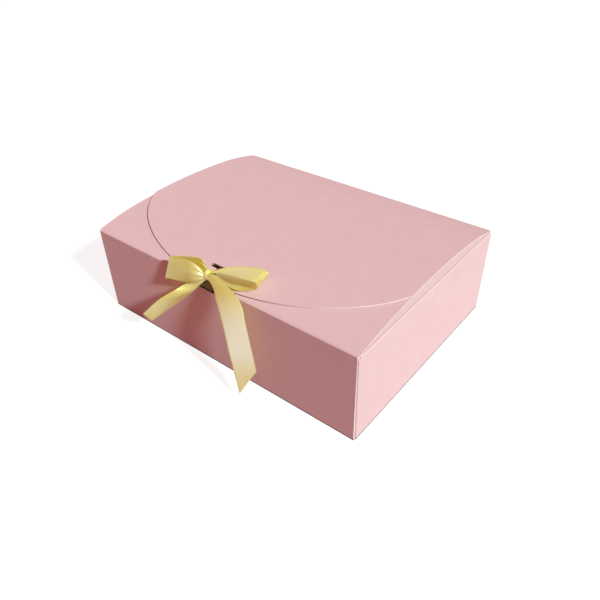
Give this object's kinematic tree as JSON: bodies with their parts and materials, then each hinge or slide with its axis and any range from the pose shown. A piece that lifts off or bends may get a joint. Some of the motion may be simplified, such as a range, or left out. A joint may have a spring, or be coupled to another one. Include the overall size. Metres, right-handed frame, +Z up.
{
  "type": "folding gift box",
  "caption": "Folding paperboard gift box with a curved lid flap over a front flap and dust flaps, tied at the front edge with a satin ribbon bow threaded through slots.",
  "frame": {"origin": "middle of the box's underside, on the surface that it stands on", "axes": "+X along the length, +Y to the back wall that carries the lid crease, +Z up"},
  "size_m": [0.27, 0.2249, 0.1],
  "materials": {
    "board": "matte pink paperboard",
    "tape": "double-sided adhesive tape",
    "ribbon": "gold satin"
  },
  "bodies": {
    "box": {"base_panel": "board", "front_wall": "board", "back_wall": "board", "left_wall": "board", "right_wall": "board", "front_left_tab": "board", "front_right_tab": "board", "back_left_tab": "board", "back_right_tab": "board", "corner_tapes": "tape"},
    "lid": {"lid_flap": "board", "ribbon_strap": "ribbon", "bow_knot": "ribbon", "left_loop": "ribbon", "right_loop": "ribbon"},
    "front_flap": {"front_flap": "board"},
    "left_dust_flap": {"left_dust_flap": "board"},
    "right_dust_flap": {"right_dust_flap": "board"},
    "left_tail": {"left_tail": "ribbon"},
    "right_tail": {"right_tail": "ribbon"}
  },
  "joints": [
    {"name": "lid_hinge", "type": "hinge", "parent": "box", "child": "lid", "pos_m": [0, 0.0991, 0.0791], "axis": [-1, 0, 0], "range_deg": [0, 110], "deforming": ["ribbon_strap"]},
    {"name": "front_flap_hinge", "type": "hinge", "parent": "box", "child": "front_flap", "pos_m": [0, -0.0991, 0.0791], "axis": [1, 0, 0], "range_deg": [0, 105]},
    {"name": "left_dust_flap_hinge", "type": "hinge", "parent": "box", "child": "left_dust_flap", "pos_m": [-0.1341, 0, 0.07795], "axis": [0, -1, 0], "range_deg": [0, 94]},
    {"name": "right_dust_flap_hinge", "type": "hinge", "parent": "box", "child": "right_dust_flap", "pos_m": [0.1341, 0, 0.07795], "axis": [0, 1, 0], "range_deg": [0, 94]},
    {"name": "left_tail_swing", "type": "hinge", "parent": "lid", "child": "left_tail", "pos_m": [0, -0.1015, 0.0798], "axis": [-1, 0, 0], "range_deg": [-100, 0]},
    {"name": "right_tail_swing", "type": "hinge", "parent": "lid", "child": "right_tail", "pos_m": [0, -0.1015, 0.0798], "axis": [-1, 0, 0], "range_deg": [-100, 0]}
  ],
  "couplings": [
    {"joint": "front_flap_hinge", "follows": "lid_hinge", "ratio": 0.95},
    {"joint": "left_dust_flap_hinge", "follows": "lid_hinge", "ratio": 0.85},
    {"joint": "right_dust_flap_hinge", "follows": "lid_hinge", "ratio": 0.85},
    {"joint": "left_tail_swing", "follows": "lid_hinge", "ratio": -0.9},
    {"joint": "right_tail_swing", "follows": "lid_hinge", "ratio": -0.9}
  ]
}
